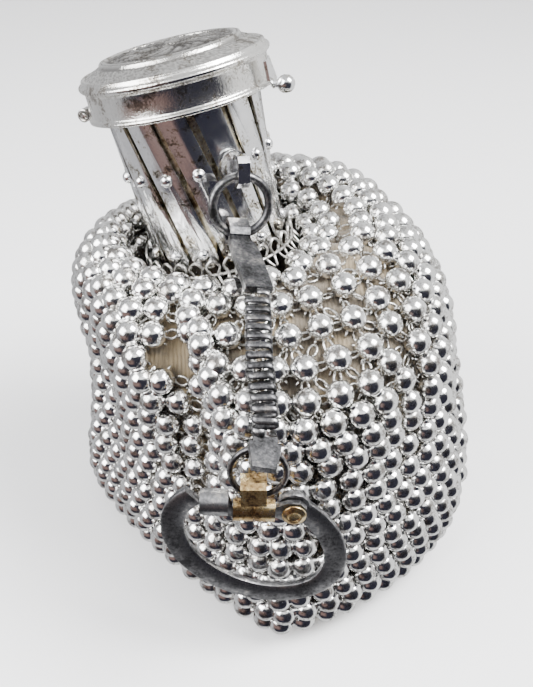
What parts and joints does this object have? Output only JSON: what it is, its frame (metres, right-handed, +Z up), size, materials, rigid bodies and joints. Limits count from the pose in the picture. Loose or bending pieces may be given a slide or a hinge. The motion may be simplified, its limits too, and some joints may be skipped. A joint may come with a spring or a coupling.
{
  "type": "beaded mesh evening purse",
  "caption": "Slumped pouch of round metal beads on an expanding slatted gate neck with a hinged round lid; a coil chain carries an oval finger ring with a hinged clasp.",
  "frame": {"origin": "centre of the pouch's base, on the surface it stands on", "axes": "+Z up from the base, -Y out of the front with the chain, +X to the right seen from the front"},
  "size_m": [0.0883, 0.0962, 0.1078],
  "materials": {
    "silver": "polished, lightly pitted",
    "bead_silver": "polished with worn, mottled spots",
    "dark_silver": "tarnished, dull",
    "brass": "aged",
    "lining_cloth": "ribbed cloth"
  },
  "bodies": {
    "purse": {"mesh_pouch": "bead_silver", "lining": "lining_cloth", "lid_hinge_leaf": "silver", "hanger_eye": "silver", "mouth_ring": "silver", "suspension_ring": "dark_silver", "upper_chain_end": "dark_silver", "coil_chain": "dark_silver", "lower_chain_end": "dark_silver", "finger_ring": "dark_silver", "lower_jump_ring": "dark_silver", "clasp_pivot": "brass", "outer_slat_01": "silver", "outer_slat_02": "silver", "outer_slat_03": "silver", "outer_slat_04": "silver", "outer_slat_05": "silver", "outer_slat_06": "silver", "outer_slat_07": "silver", "outer_slat_08": "silver", "outer_slat_09": "silver", "outer_slat_10": "silver", "outer_slat_11": "silver", "outer_slat_12": "silver", "outer_slat_13": "silver", "outer_slat_14": "silver", "inner_slat_01": "silver", "inner_slat_02": "silver", "inner_slat_03": "silver", "inner_slat_04": "silver", "inner_slat_05": "silver", "inner_slat_06": "silver", "inner_slat_07": "silver", "inner_slat_08": "silver", "inner_slat_09": "silver", "inner_slat_10": "silver", "inner_slat_11": "silver", "inner_slat_12": "silver", "inner_slat_13": "silver", "inner_slat_14": "silver"},
    "lid": {"lid": "silver", "lid_thumb_knob": "silver"},
    "clasp_gate": {"clasp_lever": "dark_silver", "clasp_sleeve": "brass"}
  },
  "joints": [
    {"name": "lid_hinge", "type": "hinge", "parent": "purse", "child": "lid", "pos_m": [-0.03638, 0.02107, 0.09054], "axis": [-0.3471, -0.9366, 0.047], "range_deg": [0, 105]},
    {"name": "clasp_hinge", "type": "hinge", "parent": "purse", "child": "clasp_gate", "pos_m": [0.00261, -0.04495, 0.04536], "axis": [0, -1, 0], "range_deg": [0, 5], "stiffness_Nm_per_rad": 0.001, "springref_deg": -17.19}
  ]
}
